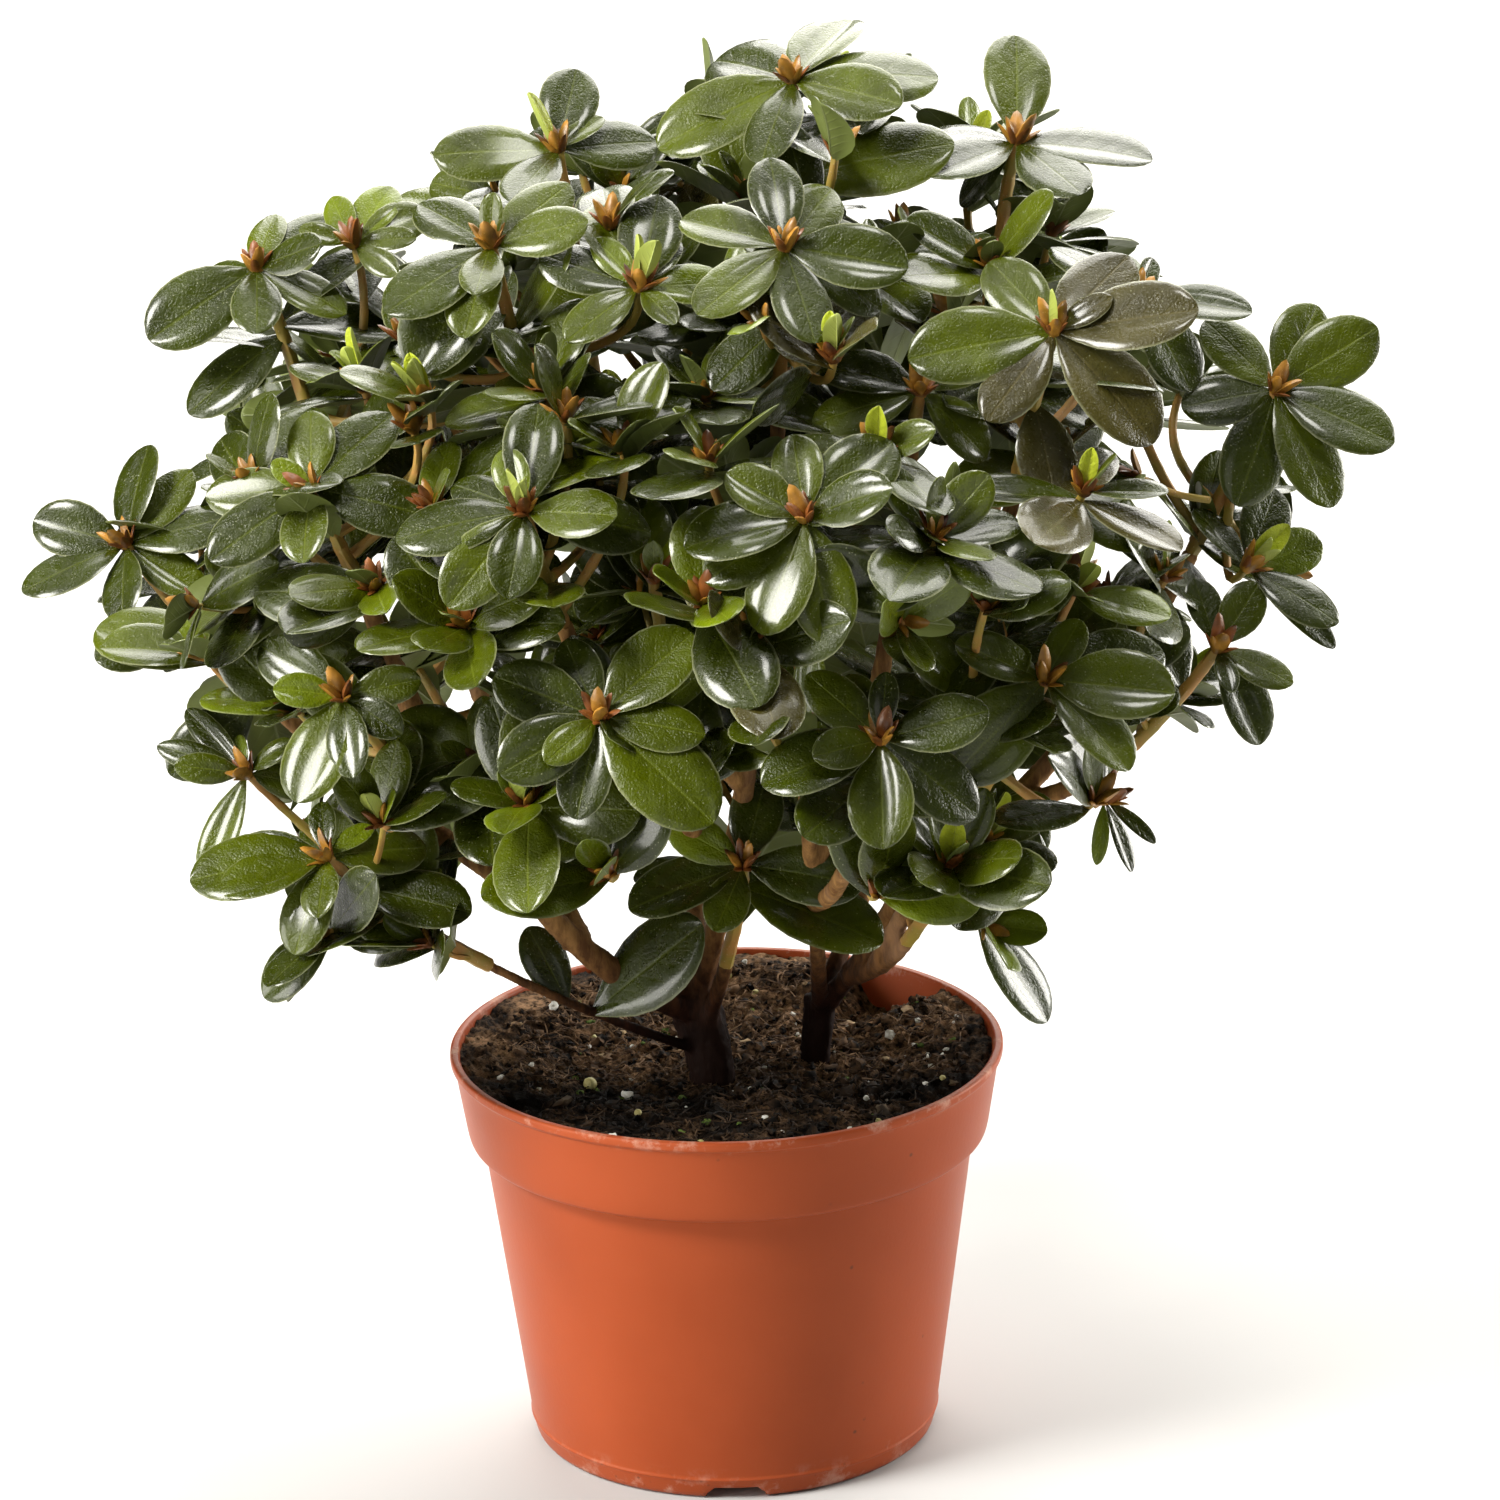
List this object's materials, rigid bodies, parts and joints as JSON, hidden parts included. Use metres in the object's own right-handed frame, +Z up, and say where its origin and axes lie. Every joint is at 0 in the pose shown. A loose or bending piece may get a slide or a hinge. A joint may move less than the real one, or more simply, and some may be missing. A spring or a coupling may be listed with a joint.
{
  "type": "potted azalea shrub",
  "caption": "Evergreen azalea with glossy oval leaves in rosettes on short woody boughs, growing in peat in a round ribless plastic grower's pot with a deep rim band",
  "frame": {"origin": "under the middle of the pot, on the surface that the pot stands on", "axes": "+Z up along the pot's axis; -Y is the side that the plant is seen from; +X to its right"},
  "size_m": [0.317, 0.2853, 0.3422],
  "materials": {
    "pot_plastic": "terracotta-orange injection-moulded plastic with a soft sheen",
    "potting_soil": "dark brown fibrous peat with white grains",
    "bark": "reddish-brown flaky bark",
    "leaf": "glossy dark green leaves with paler backs"
  },
  "bodies": {
    "root": {"pot": "pot_plastic", "soil": "potting_soil", "trunk_left": "bark", "trunk_right": "bark", "bough_left_shoulder": "bark", "bough_upper_middle": "bark", "bough_back_middle": "bark", "bough_front_low": "bark", "bough_lower_left": "bark", "bough_centre": "bark", "bough_back_right": "bark", "bough_right_shoulder": "bark", "bough_far_left": "bark", "bough_upper_left": "bark", "bough_left_low": "bark", "bough_back_left": "bark", "bough_back_low_left": "bark", "bough_left_of_top": "bark", "bough_top": "bark", "bough_top_left": "bark", "bough_centre_left": "bark", "bough_back_top": "bark", "bough_mid_front": "bark", "bough_front_left": "bark", "bough_right_middle": "bark", "bough_front_middle": "bark", "bough_far_right": "bark", "bough_top_right": "bark", "bough_right_tip": "bark", "bough_low_right": "bark", "bough_right_low": "bark", "bough_back_low_right": "bark", "foliage_left_shoulder": "leaf", "foliage_upper_middle": "leaf", "foliage_back_middle": "leaf", "foliage_front_low": "leaf", "foliage_lower_left": "leaf", "foliage_centre": "leaf", "foliage_back_right": "leaf", "foliage_right_shoulder": "leaf", "foliage_far_left": "leaf", "foliage_upper_left": "leaf", "foliage_left_low": "leaf", "foliage_back_left": "leaf", "foliage_back_low_left": "leaf", "foliage_left_of_top": "leaf", "foliage_top": "leaf", "foliage_top_left": "leaf", "foliage_centre_left": "leaf", "foliage_back_top": "leaf", "foliage_mid_front": "leaf", "foliage_front_left": "leaf", "foliage_right_middle": "leaf", "foliage_front_middle": "leaf", "foliage_far_right": "leaf", "foliage_top_right": "leaf", "foliage_right_tip": "leaf", "foliage_low_right": "leaf", "foliage_right_low": "leaf", "foliage_back_low_right": "leaf"}
  },
  "joints": []
}
